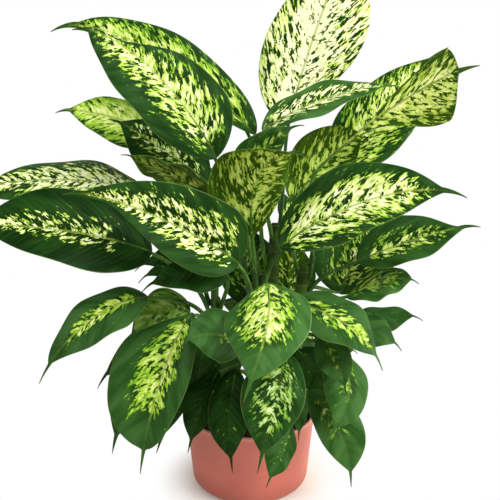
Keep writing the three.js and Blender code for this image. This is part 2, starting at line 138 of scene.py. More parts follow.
# The stalks, from the foot on the cane to the root on the midrib and the run on along it.
STALK_FOOT_RADIUS = 2.6
STALK_NECK_RADIUS = 1.7
STALK_SINK = 0.6
STALK_ROOT = 0.09
STALK_AIM = 0.02
STALK_ACROSS = 0.05
STALK_LIFT = 0.36
STALK_SPREAD = 0.1
STALK_APPROACH = 0.35
STALK_RINGS = 26
STALK_SIDES = 14
STALK_RUN_END = 0.5
STALK_RUN_RINGS = 9
STALK_RUN_TAPER = 0.45
STALK_RUN_SLIMNESS = 0.9
FOOT_SINK = 1.6

# Each cane: where it leaves the soil, where it ends, and its radius at the two ends.
CANES = {
    "front": ((2, -42), (12, -56, 206), (7.5, 6)),
    "middle": ((6, -10), (10, -24, 252), (8.5, 6.5)),
    "left": ((-34, -8), (-38, -20, 226), (7.5, 6)),
    "right": ((46, -4), (62, -8, 262), (8, 6.5)),
    "back": ((22, 30), (30, 30, 300), (8, 6.5)),
}

# How slim both sides of most leaves are, as the power of their taper to the tail.
EVEN = (1.15, 1.15)

# Each leaf has three lines: its name, its cane, the height of its stalk's foot, and the base, middle and tip
# of its midrib; the widest point of its right and its left margin, how far along each lies, and how slim each
# side is; its look. A look is the share of cream beside the midrib, its reach to right and to left, where
# along the leaf it starts and ends, how yellow it is, how light the green is (the leaf's own green, and
# painted shade on leaves that lie in shade), and how bright the cream and the midrib are, which is painted
# light
# and shade: low on leaves in shade, high on lit ones.
LEAVES = [
    ("top_left_front", "middle", 226, (-34, -40, 380), (-96, -70, 468), (-162, -95, 504),
     (-21, -32, 435), (-97, -85, 414), (0.2, 0.34), (3.6, 0.66),
     (0.58, 0.83, 0.68, 0.02, 0.95, 0.3, 0.12, 0.85)),
    ("top_left_behind", "back", 250, (6, 25, 401), (-117, 30, 495), (-212, 15, 513),
     (-43, 38, 484), (-49, 0, 434), (0.26, 0.22), (1.25, 1.5),
     (0.61, 1, 1, 0.02, 0.95, 0.58, 0.2, 0.95)),
    ("left_yellow_behind", "back", 225, (-68, 40, 383), (-150, 45, 417), (-219, 40, 428),
     (-141, 62, 438), (-148, 20, 391), (0.42, 0.42), EVEN,
     (0.78, 1.3, 1.1, 0, 0.95, 0.8, 0.6, 1)),
    ("left_dark_under", "middle", 222, (-46, -3, 351), (-97, 0, 388), (-150, -8, 422),
     (-75, 24, 408), (-105, -28, 360), (0.42, 0.42), EVEN,
     (0.45, 0.6, 0.55, 0.05, 0.9, 0.1, 0, 0.7)),
    ("left_olive_edge", "left", 210, (-44, -42, 345), (-87, -58, 368), (-126, -72, 389),
     (-97, -38, 356), (-83, -85, 382), (0.42, 0.42), EVEN,
     (0.5, 0.9, 0.9, 0.05, 0.9, 0.5, 0.6, 0.4)),
    ("far_left_upper", "left", 216, (-108, -10, 337), (-191, -27, 356), (-299, -48, 347),
     (-188, 8, 372), (-170, -50, 332), (0.38, 0.4), (0.85, 0.45),
     (0.57, 0.9, 0.85, 0.05, 1, 0, 0.3, 1)),
    ("far_left_lower", "left", 200, (-100, -62, 286), (-178, -87, 312), (-278, -108, 323),
     (-178, -62, 349), (-148, -108, 277), (0.42, 0.32), (0.7, 0.75),
     (0.44, 0.45, 0.42, 0.2, 1, 0.05, 0, 0.9)),
    ("centre_left_front", "middle", 205, (-11, -70, 277), (-94, -110, 333), (-171, -125, 357),
     (-27, -98, 343), (-62, -118, 283), (0.2, 0.24), (1.3, 3),
     (0.51, 0.8, 0.65, 0.03, 0.95, 0, 0.12, 1)),
    ("central_arch", "middle", 229, (2, -60, 303), (11, -74, 369), (51, -122, 391),
     (-41, -70, 361), (28, -84, 362), (0.35, 0.35), EVEN,
     (0.54, 1.1, 1.1, 0, 0.9, 0.5, 0.3, 0.5)),
    ("central_lit_edge", "middle", 246, (-4, -42, 337), (11, -45, 385), (54, -54, 417),
     (23, -32, 365), (-10, -58, 391), (0.35, 0.35), EVEN,
     (0.45, 0.9, 0.9, 0, 0.9, 0.5, 0.5, 0.4)),
    ("upper_centre_level", "back", 285, (13, 5, 406), (83, 5, 440), (162, 5, 455),
     (74, -25, 424), (54, 27, 449), (0.42, 0.36), EVEN,
     (0.52, 0.75, 0.75, 0, 0.95, -0.2, 0.75, 1)),
    ("top_upright", "back", 291, (43, 50, 409), (71, 47, 508), (116, 22, 629),
     (128, 36, 539), (13, 47, 493), (0.57, 0.38), EVEN,
     (0.65, 3, 3, 0, 0.99, -0.22, 0.1, 1)),
    ("upper_right_behind", "right", 252, (99, 30, 361), (154, 45, 432), (219, 40, 499),
     (173, 25, 393), (113, 62, 435), (0.38, 0.33), EVEN,
     (0.6, 1.05, 1.05, 0, 0.95, 0.47, 0.3, 1)),
    ("upper_right_curled", "right", 245, (64, -10, 356), (139, -35, 426), (208, -105, 472),
     (194, -62, 488), (196, -94, 423), (0.82, 0.8), EVEN,
     (0.615, 1.15, 1.15, 0, 1, 0.35, 0.6, 1)),
    ("upper_right_inner", "right", 238, (48, 12, 326), (89, 18, 375), (134, 20, 408),
     (57, 25, 396), (107, 0, 358), (0.45, 0.45), EVEN,
     (0.52, 1, 1, 0, 0.95, 0.55, 0.3, 0.5)),
    ("right_broad", "middle", 222, (30, -60, 291), (121, -85, 344), (203, -110, 352),
     (95, -105, 307), (77, -48, 365), (0.32, 0.32), (1.15, 1.4),
     (0.6, 1.05, 0.78, 0.02, 0.86, 0.2, 0.2, 1)),
    ("right_lower_hook", "right", 222, (117, -15, 265), (181, -25, 293), (243, -35, 311),
     (166, -42, 270), (161, 12, 311), (0.4, 0.36), (1.4, 2.4),
     (0.48, 0.65, 0.52, 0.08, 0.85, 0.35, 0.32, 0.8)),
    ("right_patterned", "right", 225, (107, 28, 216), (130, 45, 265), (171, 50, 315),
     (165, 20, 250), (74, 47, 246), (0.42, 0.42), EVEN,
     (0.46, 0.8, 0.8, 0.05, 0.9, 0.4, 0.5, 0.8)),
    ("right_small_upper", "right", 205, (108, -5, 222), (147, -12, 243), (185, -20, 245),
     (134, -35, 227), (164, 15, 253), (0.42, 0.5), (0.95, 0.95),
     (0.47, 0.75, 0.75, 0.03, 0.85, 0.6, 0.6, 0.6)),
    ("right_plain_upper", "right", 190, (101, 35, 176), (156, 40, 188), (206, 35, 185),
     (159, 18, 173), (161, 57, 193), (0.45, 0.56), EVEN,
     (0.1, 0.4, 0.4, 0.1, 0.7, 0.5, 0.3, 0.2)),
    ("right_plain_lower", "right", 182, (97, 0, 191), (138, 0, 182), (173, -5, 162),
     (130, -18, 169), (151, 15, 191), (0.45, 0.45), EVEN,
     (0.1, 0.4, 0.4, 0.1, 0.7, 0.5, 0.4, 0.2)),
    ("centre_right_front", "front", 187, (40, -80, 238), (93, -108, 224), (129, -118, 184),
     (70, -130, 217), (91, -85, 245), (0.38, 0.42), EVEN,
     (0.46, 0.6, 0.52, 0.05, 0.88, 0.5, 0.42, 0.95)),
    ("right_olive_sliver", "right", 150, (70, -50, 194), (93, -62, 185), (112, -70, 183),
     (91, -78, 178), (99, -42, 188), (0.4, 0.4), EVEN,
     (0.15, 0.5, 0.5, 0.1, 0.8, 0.6, 0.5, 0.3)),
    ("centre_mottled", "back", 192, (50, 46, 204), (47, 50, 240), (57, 55, 290),
     (17, 53, 237), (76, 51, 245), (0.4, 0.4), EVEN,
     (0.4, 0.8, 0.8, 0, 0.9, 0.3, 0.1, 0.7)),
    ("front_centre", "front", 200, (17, -75, 257), (15, -140, 229), (-6, -185, 181),
     (-24, -118, 225), (59, -118, 238), (0.32, 0.32), EVEN,
     (0.63, 0.75, 0.7, 0, 0.72, 0.6, 0.7, 1)),
    ("left_front_grey", "front", 180, (-8, -85, 194), (-37, -112, 215), (-65, -135, 214),
     (-29, -92, 235), (-35, -125, 193), (0.38, 0.38), EVEN,
     (0.3, 0.4, 0.5, 0, 0.5, 0.4, 0.4, 0.5)),
    ("front_lower_cream", "front", 165, (35, -105, 194), (24, -148, 161), (7, -160, 98),
     (-8, -150, 160), (52, -138, 162), (0.45, 0.45), EVEN,
     (0.5, 0.75, 0.7, 0.06, 0.84, 0.1, 0.12, 0.1)),
    ("front_small_low", "front", 134, (41, -100, 114), (31, -122, 92), (16, -130, 65),
     (15, -128, 97), (44, -118, 94), (0.45, 0.45), EVEN,
     (0.25, 0.4, 0.4, 0.1, 0.7, 0.4, 0.3, 0.2)),
    ("front_tip_low", "front", 127, (56, -70, 137), (53, -85, 117), (50, -92, 96),
     (44, -85, 123), (60, -85, 122), (0.4, 0.4), EVEN,
     (0.1, 0.4, 0.4, 0.1, 0.7, 0.4, 0.2, 0.2)),
    ("right_front_upper", "front", 168, (72, -75, 200), (88, -98, 181), (95, -110, 154),
     (66, -98, 183), (100, -100, 189), (0.4, 0.4), EVEN,
     (0.3, 0.4, 0.4, 0.1, 0.7, 0.4, 0.5, 0.2)),
    ("right_front_broad", "front", 160, (88, -55, 184), (102, -88, 147), (76, -108, 101),
     (75, -95, 150), (122, -85, 141), (0.45, 0.52), EVEN,
     (0.4, 0.6, 0.45, 0.1, 0.7, 0.5, 0.55, 0.3)),
    ("right_front_long", "front", 150, (59, -55, 132), (93, -82, 99), (106, -95, 45),
     (72, -85, 93), (118, -82, 104), (0.48, 0.48), (0.95, 0.95),
     (0.36, 0.5, 0.5, 0.1, 0.7, 0.5, 0.6, 0.25)),
    ("right_olive_behind", "front", 155, (53, -30, 169), (68, -42, 150), (85, -52, 119),
     (49, -45, 133), (85, -42, 159), (0.42, 0.42), EVEN,
     (0.15, 0.5, 0.5, 0.1, 0.8, 0.6, 0.3, 0.3)),
    ("left_drooping", "left", 188, (-106, -62, 239), (-160, -85, 221), (-212, -100, 163),
     (-167, -66, 238), (-136, -105, 212), (0.4, 0.4), (0.7, 1.15),
     (0.57, 0.4, 0.38, 0.05, 0.78, 0.75, 0.4, 1)),
    ("left_front_big", "left", 172, (-60, -60, 221), (-88, -95, 167), (-112, -110, 69),
     (-143, -95, 154), (-61, -112, 165), (0.54, 0.48), (0.54, 0.54),
     (0.625, 0.54, 0.5, 0.04, 0.8, 0.85, 0.42, 1)),
    ("left_behind_low", "left", 138, (-58, -45, 197), (-75, -72, 140), (-98, -88, 80),
     (-96, -75, 149), (-60, -72, 140), (0.42, 0.42), EVEN,
     (0.12, 0.4, 0.4, 0.1, 0.8, 0.4, 0.15, 0.2)),
    ("left_behind_tip", "left", 124, (-91, -45, 191), (-123, -72, 138), (-145, -85, 78),
     (-141, -75, 143), (-103, -75, 139), (0.45, 0.45), EVEN,
     (0.1, 0.4, 0.4, 0.1, 0.8, 0.4, 0.2, 0.2)),
    ("left_hair_tip", "left", 110, (-94, -20, 198), (-128, -38, 176), (-166, -48, 135),
     (-131, -35, 187), (-118, -42, 159), (0.4, 0.4), EVEN,
     (0.1, 0.4, 0.4, 0.1, 0.8, 0.4, 0.1, 0.2)),
    ("left_olive_back", "left", 152, (-65, -32, 211), (-98, -44, 217), (-134, -56, 183),
     (-93, -24, 237), (-104, -66, 198), (0.4, 0.4), EVEN,
     (0.72, 1.6, 1.6, 0, 0.95, 0.85, 1, 0.1)),
    ("left_under_dark", "left", 203, (-23, -55, 263), (-64, -80, 270), (-108, -88, 254),
     (-63, -68, 281), (-59, -98, 255), (0.4, 0.4), EVEN,
     (0.12, 0.4, 0.4, 0.1, 0.8, 0.3, 0, 0.2)),
    ("left_small_tip_upper", "left", 190, (-53, 45, 263), (-94, 38, 260), (-134, 30, 247),
     (-93, 50, 269), (-93, 28, 251), (0.35, 0.35), EVEN,
     (0.1, 0.4, 0.4, 0.1, 0.8, 0.3, 0, 0.2)),
    ("left_small_tip_lower", "left", 204, (-50, 6, 255), (-87, 0, 256), (-124, -9, 243),
     (-86, 10, 264), (-86, -10, 247), (0.35, 0.35), EVEN,
     (0.1, 0.4, 0.4, 0.1, 0.8, 0.3, 0, 0.2)),
    ("pot_front_left", "front", 154, (-34, -62, 158), (-49, -85, 126), (-65, -90, 81),
     (-68, -85, 126), (-35, -88, 131), (0.45, 0.45), EVEN,
     (0.15, 0.4, 0.4, 0.1, 0.8, 0.4, 0, 0.15)),
    ("pot_front_mid", "front", 142, (-14, -72, 164), (-21, -95, 119), (-18, -100, 64),
     (-43, -95, 126), (-2, -97, 123), (0.45, 0.45), EVEN,
     (0.2, 0.5, 0.5, 0.1, 0.8, 0.4, 0, 0.1)),
    ("front_left_green", "front", 172, (-24, -42, 173), (-45, -52, 159), (-64, -58, 119),
     (-61, -52, 159), (-28, -48, 141), (0.42, 0.42), EVEN,
     (0.12, 0.4, 0.4, 0.1, 0.8, 0.4, 0.5, 0.2)),
    ("back_low_left", "back", 160, (-31, 75, 156), (-81, 130, 110), (-121, 170, 57),
     (-98, 130, 141), (-20, 124, 75), (0.4, 0.4), EVEN,
     (0.5, 0.6, 0.6, 0.05, 0.9, 0.2, 0.2, 0.9)),
    ("back_low_right", "back", 165, (44, 75, 169), (81, 130, 131), (114, 175, 78),
     (97, 130, 107), (54, 135, 143), (0.4, 0.4), EVEN,
     (0.5, 0.6, 0.6, 0.05, 0.9, 0.2, 0.2, 0.9)),
    ("back_middle", "back", 190, (30, 82, 197), (12, 137, 179), (-6, 190, 110),
     (56, 120, 182), (-37, 124, 176), (0.4, 0.4), EVEN,
     (0.4, 0.5, 0.5, 0.05, 0.9, 0.2, 0, 0.6)),
    ("back_upper_left", "back", 180, (-5, 74, 189), (-4, 100, 238), (-6, 122, 294),
     (34, 104, 253), (-37, 98, 232), (0.38, 0.38), EVEN,
     (0.38, 0.7, 0.7, 0.05, 0.9, 0.4, 0, 0.3)),
    ("back_upper_right", "back", 268, (43, 85, 287), (69, 133, 288), (97, 185, 241),
     (103, 120, 265), (42, 126, 318), (0.4, 0.4), EVEN,
     (0.6, 0.8, 0.8, 0.03, 0.9, 0.15, 0.2, 0.9)),
]

# ---- meshes


def add_object(name, data):
    """A new object of the scene, at the origin."""
    thing = bpy.data.objects.new(name, data)
    bpy.context.scene.collection.objects.link(thing)
    return thing


def add_piece(name, points, faces, node, materials, face_materials=None, attributes=None):
    mesh = bpy.data.meshes.new(name)
    mesh.from_pydata((points * MM).tolist(), [], faces)
    for material in materials:
        mesh.materials.append(material)
    mesh.polygons.foreach_set("use_smooth", np.ones(len(faces), bool))
    if face_materials is not None:
        mesh.polygons.foreach_set("material_index", face_materials)
    for key, values in (attributes or {}).items():
        layer = mesh.attributes.new(key, "FLOAT_VECTOR", "POINT")
        layer.data.foreach_set("vector", values.astype(np.float32).ravel())
    mesh.update()
    piece = add_object(name, mesh)
    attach(piece, "root")
    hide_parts(node)


def ring_quads(rings, sides):
    """Quads that join each point of a ring and the one after it to the same two points of the next ring."""
    ring, side = np.meshgrid(np.arange(rings - 1), np.arange(sides), indexing="ij")
    a = ring * sides + side
    b = ring * sides + (side + 1) % sides
    return np.stack([a, b, b + sides, a + sides], axis=-1).reshape(-1, 4)


def zigzag_cap(sides, start, outward):
    """Quads across a ring from its first half to its second half, which close a thin or a round ring."""
    k = np.arange(sides // 2 - 1)
    quads = np.stack([k, sides - 1 - k, sides - 2 - k, k + 1], axis=-1) + start
    return quads if outward else quads[:, ::-1]


def unit(vectors):
    """The same directions with a length of 1."""
    return vectors / np.linalg.norm(vectors, axis=-1, keepdims=True)


def smooth_step(x):
    """0 below 0 and 1 above 1, with 3x^2 - 2x^3 between them."""
    held = np.clip(x, 0, 1)
    return held ** 2 * (3 - 2 * held)


# ---- the leaf's surface


class Leaf:
    """One row of LEAVES as arrays; every method takes an array of places along or across the blade."""

    def __init__(self, row, index):
        self.name, self.cane, self.foot_height, base, middle, tip, right, left, widest, slimness, look = row
        self.cream, right_reach, left_reach, self.start, self.end, *self.tint_and_painted_light = look
        self.reach = {1: right_reach, -1: left_reach}
        self.widest = {1: widest[0], -1: widest[1]}
        self.slimness = {1: slimness[0], -1: slimness[1]}
        self.base, self.middle, self.tip = (np.array(p, float) for p in (base, middle, tip))
        self.edges = {1: np.array(right, float), -1: np.array(left, float)}
        self.index = index
        self.length = np.linalg.norm(self.middle - self.base) + np.linalg.norm(self.tip - self.middle)

    def midrib(self, u):
        """A parabola through base, middle and tip, whose last part droops by the square of its way along."""
        bend = 2 * self.middle - (self.base + self.tip) / 2
        u = np.asarray(u, float)[..., None]
        droop = TIP_DROOP * (np.maximum(u - TAIL_START, 0) / (1 - TAIL_START)) ** 2
        return (self.base * (1 - u) ** 2 + bend * 2 * u * (1 - u) + self.tip * u ** 2
                - droop * np.array([0, 0, 1]))

    def along(self, u):
        """The midrib's direction, from its points one small step before and after."""
        return unit(self.midrib(np.minimum(u + MIDRIB_STEP, 1)) - self.midrib(np.maximum(u - MIDRIB_STEP, 0)))

    def arm(self, u, side):
        """The vector from the midrib to the widest place of one margin, kept square to the midrib."""
        arm = self.edges[side] - self.midrib(self.widest[side])
        along = self.along(u)
        square = arm - along * (along @ arm)[..., None]
        return unit(square) * np.linalg.norm(arm)

    def normal(self, u):
        """Up from the blade: square to the midrib and to the line from the left arm to the right one."""
        return unit(np.cross(self.arm(u, 1) - self.arm(u, -1), self.along(u)))

    def outline(self, u, side):
        """1 at the widest place: a power of 1 - back^2 to the base, and of 1 - ahead^SHOULDER to the tail."""
        peak = self.widest[side]
        back = 1 - np.minimum(u / peak, 1)
        ahead = np.clip((u - peak) / (BODY_LENGTH - peak), 0, 1)
        to_base = (1 - back ** 2) ** (BASE_FULLNESS * max(1, peak / LATE_PEAK) ** 4)
        to_tail = (1 - ahead ** SHOULDER) ** self.slimness[side]
        return to_base * to_tail

    def cover(self, u, across, side):
        """The share of cream: highest beside the midrib, with smooth steps down at its reach and its ends."""
        fade = smooth_step((CREAM_LIMIT - across / self.reach[side]) / CREAM_FADE)
        start = smooth_step((u - self.start + CREAM_OVERRUN) / CREAM_START_FADE)
        end = smooth_step((self.end + CREAM_OVERRUN - u) / CREAM_END_FADE)
        return self.cream * (fade * (1 - CREAM_THINNING * across)) * (start * end)

    def half(self, u, across, side):
        """The half blade on one side: points over u (rows) and across from midrib to margin (columns).

        A point lies out along the arm by its share of the outline's width, and is lifted by a low parabola
        between midrib and margin, a wave that grows to the margin, ripples along the side veins and a groove
        at the midrib. A side vein leans forward by a part of its distance out and by the square of it. With
        the points come the side vein that each is on, its distance from the midrib and its share of cream.
        """
        arm = self.arm(u, side)
        shape = self.outline(u, side)
        tail = np.minimum((1 - u) / (1 - TAIL_START), 1)
        least = np.where(u < 0.5, BASE_HALF_WIDTH, TIP_HALF_WIDTH + TAIL_SHARE * self.length * tail)
        reach = np.maximum(shape * np.linalg.norm(arm, axis=-1), least)[:, None]
        phase = 2 * np.pi * EDGE_WAVE_COUNT * u + self.index * WAVE_STEP
        phase = phase + (0 if side > 0 else WAVE_STEP_LEFT)
        bulge = BULGE * reach * 4 * across * (1 - across)
        wave = EDGE_WAVE * shape[:, None] * across ** 2 * np.sin(phase)[:, None]
        distance = reach * across
        widest = np.linalg.norm(self.arm(u[:1], side))
        vein = self.length * u[:, None] - VEIN_LEAN * distance - VEIN_SWEEP * distance ** 2 / widest
        quilt = VEIN_RELIEF * np.cos(2 * np.pi * vein / VEIN_SPACING)
        quilt = quilt * np.clip(distance / VEIN_CLEAR_OF_MIDRIB, 0, 1)
        quilt = quilt * np.clip((1 - across) / VEIN_CLEAR_OF_MARGIN, 0, 1)
        groove = MIDRIB_GROOVE * (1 - u[:, None]) * np.exp(-(distance / MIDRIB_SPREAD) ** 2)
        lift = bulge + wave + quilt - groove
        points = self.midrib(u)[:, None] + unit(arm)[:, None] * distance[..., None]
        points = points + self.normal(u)[:, None] * lift[..., None]
        return points, vein, side * distance, self.cover(u[:, None], across, side)


def both_faces(field):
    """A field over the upper face, followed by the same field mirrored for the underside."""
    return np.concatenate([field, field[:, ::-1]], axis=1)


def blade(leaf, stations, crossings):
    """A closed blade: rings along u, each the upper face from left to right margin and the underside back.

    The blade is thickest at the midrib and thins by the square of the way to the margin. Under the midrib
    stands a keel with a bell-shaped section that shrinks to nothing at the tip.
    """
    even = np.linspace(0, 1, stations)
    u = END_CROWDING * (0.5 - 0.5 * np.cos(np.pi * even)) + (1 - END_CROWDING) * even
    across = np.linspace(0, 1, crossings) ** MARGIN_CROWDING
    left = leaf.half(u, across, -1)
    right = leaf.half(u, across, 1)
    top, vein, distance, cover = (np.concatenate([a[:, :0:-1], b], axis=1) for a, b in zip(left, right))
    share = np.concatenate([across[:0:-1], across])[None, :] + 0 * vein
    thickness = EDGE_THICKNESS + (CENTRE_THICKNESS - EDGE_THICKNESS) * (1 - share ** 2)
    keel = MIDRIB_DEPTH * (1 - u[:, None]) * np.exp(-(distance / MIDRIB_SPREAD) ** 2)
    normal = leaf.normal(u)[:, None]
    upper = top + normal * (thickness / 2)[..., None]
    under = top - normal * (thickness / 2 + keel)[..., None]
    points = np.concatenate([upper, under[:, ::-1]], axis=1)
    sides = points.shape[1]
    faces = np.concatenate([ring_quads(stations, sides),
                            zigzag_cap(sides, 0, True),
                            zigzag_cap(sides, (stations - 1) * sides, False)])
    is_under = np.tile(np.arange(sides) >= sides // 2 - 1, stations - 1)
    is_under[np.arange(len(is_under)) % sides == sides - 1] = False
    slots = np.concatenate([is_under.astype(int), np.zeros(2 * (sides // 2 - 1), int)])
    apart = PATTERN_STEP * leaf.index + 0 * vein
    veins = np.stack([both_faces(field) for field in (vein, distance, apart)], axis=-1)
    place = np.stack([both_faces(field) for field in (u[:, None] + 0 * vein, share, cover)], axis=-1)
    # The look carries the leaf's yellow, the lightness of its green (partly painted shade), and its glow, the
    # painted light on its cream and midrib.
    look = np.broadcast_to(leaf.tint_and_painted_light, place.shape)
    return points.reshape(-1, 3), faces, slots, {"vein": veins, "place": place, "look": look}


def tube(centres, radii, sides, start_across=(1.0, 0.0, 0.0)):
    """Rings of points round a path: circles square to it, turned as little as can be from one to the next."""
    along = unit(np.gradient(centres, axis=0))
    across = np.empty_like(centres)
    last = np.array(start_across, float)
    for ring, direction in enumerate(along):
        last = unit(last - direction * (last @ direction))
        across[ring] = last
    third = np.cross(along, across)
    angle = np.linspace(0, 2 * np.pi, sides, endpoint=False)
    radii = radii[:, None] if radii.ndim < 2 else radii
    ring = (across[:, None] * np.cos(angle)[None, :, None] + third[:, None] * np.sin(angle)[None, :, None])
    return centres[:, None] + ring * radii[..., None]


def closed_tube(points):
    """The faces of a tube's rings with both ends closed."""
    rings, sides = points.shape[:2]
    return np.concatenate([ring_quads(rings, sides),
                           zigzag_cap(sides, 0, True),
                           zigzag_cap(sides, (rings - 1) * sides, False)])


def cane_centre(cane, height):
    """Upright in the soil, then leaning by the square of the height gained."""
    foot, top, _ = CANES[cane]
    height = np.asarray(height, float)
    rise = np.maximum(height - SOIL_TOP, 0) / (top[2] - SOIL_TOP)
    return np.stack([foot[0] + (top[0] - foot[0]) * rise ** 2,
                     foot[1] + (top[1] - foot[1]) * rise ** 2, height], axis=-1)


def cane_radius(cane, height):
    """A straight taper from the soil to the cane's end."""
    _, top, radii = CANES[cane]
    rise = np.clip((np.asarray(height, float) - SOIL_TOP) / (top[2] - SOIL_TOP), 0, 1)
    return radii[0] + (radii[1] - radii[0]) * rise


def stalk_tube(leaf):
    """The stalk: a cubic curve from its cane to the midrib's underside, which runs on along it and thins."""
    centre = cane_centre(leaf.cane, leaf.foot_height)
    outward = unit((leaf.base - centre) * (1, 1, 0))
    stand_off = cane_radius(leaf.cane, leaf.foot_height) + STALK_FOOT_RADIUS - FOOT_SINK
    foot = centre + outward * stand_off
    at = np.array([STALK_ROOT])
    root = leaf.midrib(at)[0] - leaf.normal(at)[0] * MIDRIB_DEPTH * STALK_SINK
    span = np.linalg.norm(root - foot)
    lift = foot + outward * span * STALK_SPREAD + np.array([0, 0, span * STALK_LIFT])
    approach = root - leaf.along(np.array([STALK_AIM]))[0] * span * STALK_APPROACH
    s = np.linspace(0, 1, STALK_RINGS)[:, None]
    curve = (foot * (1 - s) ** 3 + 3 * lift * (1 - s) ** 2 * s
             + 3 * approach * (1 - s) * s ** 2 + root * s ** 3)
    u = np.linspace(STALK_ROOT, STALK_RUN_END, STALK_RUN_RINGS)[1:]
    sink = MIDRIB_DEPTH * (STALK_SINK * (1 - u))[:, None]
    run = leaf.midrib(u) - leaf.normal(u) * sink
    free_radii = STALK_FOOT_RADIUS + (STALK_NECK_RADIUS - STALK_FOOT_RADIUS) * s[:, 0]
    run_radii = STALK_NECK_RADIUS * (1 - (u - STALK_ROOT) / STALK_RUN_TAPER) * STALK_RUN_SLIMNESS
    centres = np.concatenate([curve, run])
    radii = np.concatenate([free_radii, run_radii])
    points = tube(centres, radii, STALK_SIDES, leaf.arm(np.array([STALK_ACROSS]), 1)[0])
    return points.reshape(-1, 3), closed_tube(points)


def make_leaf(leaf, materials):
    """One piece: the blade and its stalk, with the pattern's coordinates on every point of the blade."""
    grid = LONG_LEAF_GRID if leaf.length > LONG_LEAF else SHORT_LEAF_GRID
    points, faces, slots, attributes = blade(leaf, *grid)
    stalk, stalk_faces = stalk_tube(leaf)
    slots = np.concatenate([slots, np.full(len(stalk_faces), 2)])
    nothing = np.zeros((len(stalk), 3))
    attributes = {key: np.concatenate([values.reshape(-1, 3), nothing]) for key, values in attributes.items()}
    add_piece(f"blade_{leaf.name}", np.concatenate([points, stalk]),
              faces.tolist() + (stalk_faces + len(points)).tolist(),
              f"leaf_{leaf.name}", materials, slots, attributes)


# ---- canes, soil and pot


def make_cane(name, material):
    """A cane with evenly spaced leaf scars: each is a low bell-shaped ridge round it, tilted by a sine.

    The ridges start above the soil, and the cane's end narrows by a square root to a blunt round top.
    """
    _, top, _ = CANES[name]
    heights = np.linspace(SOIL_TOP - CANE_HOLE_DEPTH + SEAT_GAP, top[2], CANE_RINGS)
    angle = np.linspace(0, 2 * np.pi, CANE_SIDES, endpoint=False)
    tilt = SCAR_TILT * np.cos(angle - heights[:, None] // SCAR_SPACING * SCAR_TURN)
    from_middle = np.abs(((heights[:, None] + tilt) / SCAR_SPACING) % 1 - 0.5) * SCAR_SPACING
    ridge = SCAR_HEIGHT * np.exp(-((SCAR_SPACING / 2 - from_middle) / SCAR_WIDTH) ** 2)
    end = np.clip((top[2] - heights) / CANE_END_ROUND, 0, 1)[:, None]
    above = np.clip((heights - SOIL_TOP) / SCAR_CLEAR_OF_SOIL, 0, 1)[:, None]
    narrowing = 1 - CANE_END_TAPER + CANE_END_TAPER * np.sqrt(end)
    radii = (cane_radius(name, heights)[:, None] + ridge * above) * narrowing
    points = tube(cane_centre(name, heights), radii, CANE_SIDES)
    add_piece(f"stem_{name}", points.reshape(-1, 3), closed_tube(points).tolist(), f"cane_{name}",
              [material])


def pot_radius(height):
    """The outside of the wall: a straight taper from the foot to the rim."""
    return FOOT_RADIUS + (RIM_RADIUS - FOOT_RADIUS) * height / POT_HEIGHT


def arc(centre, radius, start, stop, count):
    """Points on a circle's arc between two angles in degrees."""
    angle = np.radians(np.linspace(start, stop, count))
    return np.stack([centre[0] + radius * np.cos(angle), centre[1] + radius * np.sin(angle)], axis=-1)


def spin(outline, sides):
    """Turns an outline of (radius, height) about the upright axis: one ring of points for each row."""
    angle = np.linspace(0, 2 * np.pi, sides, endpoint=False)
    radius, height = outline.T[..., None]
    return np.stack([radius * np.cos(angle), radius * np.sin(angle), height + 0 * angle], axis=-1)


def lathe_faces(rings, sides):
    """Ring quads with each end ring closed by one many-sided face."""
    first = list(range(sides))
    last = [(rings - 1) * sides + k for k in range(sides)]
    return ring_quads(rings, sides).tolist() + [first[::-1], last]


def make_pot(material):
    """A moulded cup: flat underside, quarter-round lower edge, straight tapered wall, and a rounded lip."""
    corner = pot_radius(EDGE_ROUND) - EDGE_ROUND
    lip_foot = POT_HEIGHT - LIP_HEIGHT
    wall = np.linspace(EDGE_ROUND + 1, lip_foot - 0.6, 14)
    lip_side = np.array(LIP_SIDE)
    inner = np.linspace(lip_foot, EDGE_ROUND, 10)
    inside_floor = pot_radius(EDGE_ROUND) - POT_WALL - EDGE_ROUND + POT_FLOOR
    outline = np.concatenate([
        [(POT_CENTRE_RING, 0), (corner * 0.5, 0), (corner - 1, 0)],
        arc((corner, EDGE_ROUND), EDGE_ROUND, -90, -4, 12),
        np.stack([pot_radius(wall), wall], axis=-1),
        [(pot_radius(lip_foot) + 0.15, lip_foot - 0.2),
         (pot_radius(lip_foot) + LIP_SWELL * 0.8, lip_foot + 0.3)],
        np.stack([pot_radius(lip_side) + LIP_SWELL, lip_side], axis=-1),
        arc((RIM_RADIUS + LIP_SWELL - OUTER_ROUND, POT_HEIGHT - OUTER_ROUND), OUTER_ROUND, 15, 90, 5),
        arc((RIM_RADIUS - POT_WALL + INNER_ROUND, POT_HEIGHT - INNER_ROUND), INNER_ROUND, 100, 180, 4),
        np.stack([pot_radius(inner) - POT_WALL, inner], axis=-1),
        [(inside_floor, POT_FLOOR), (inside_floor * 0.5, POT_FLOOR), (POT_CENTRE_RING, POT_FLOOR)],
    ])
    points = spin(outline, POT_SIDES).reshape(-1, 3)
    add_piece("nursery_pot", points, lathe_faces(len(outline), POT_SIDES), "pot", [material])


def soil_drop(distance, edge):
    """How far the soil has sunk at a distance from the axis: a power of 1.5 over the outer part."""
    share = np.clip((distance / edge - SOIL_EDGE_START) / (1 - SOIL_EDGE_START), 0, 1)
    return SOIL_EDGE_DROP * share ** 1.5


def bumps(x, y):
    """Lumps of a few sizes: for each, three products of two sines that run in seeded directions."""
    random = np.random.default_rng(LUMP_SEED)
    height = 0 * x
    for size, depth in LUMPS:
        for _ in range(3):
            turn, shift = random.uniform(0, 2 * np.pi, 2)
            wave = (x * math.cos(turn) + y * math.sin(turn)) * 2 * np.pi / size + shift
            other = (y * math.cos(turn + 1) - x * math.sin(turn + 1)) * 2 * np.pi / (size * 1.3)
            height = height + depth / 3 * np.sin(wave) * np.sin(other)
    return height


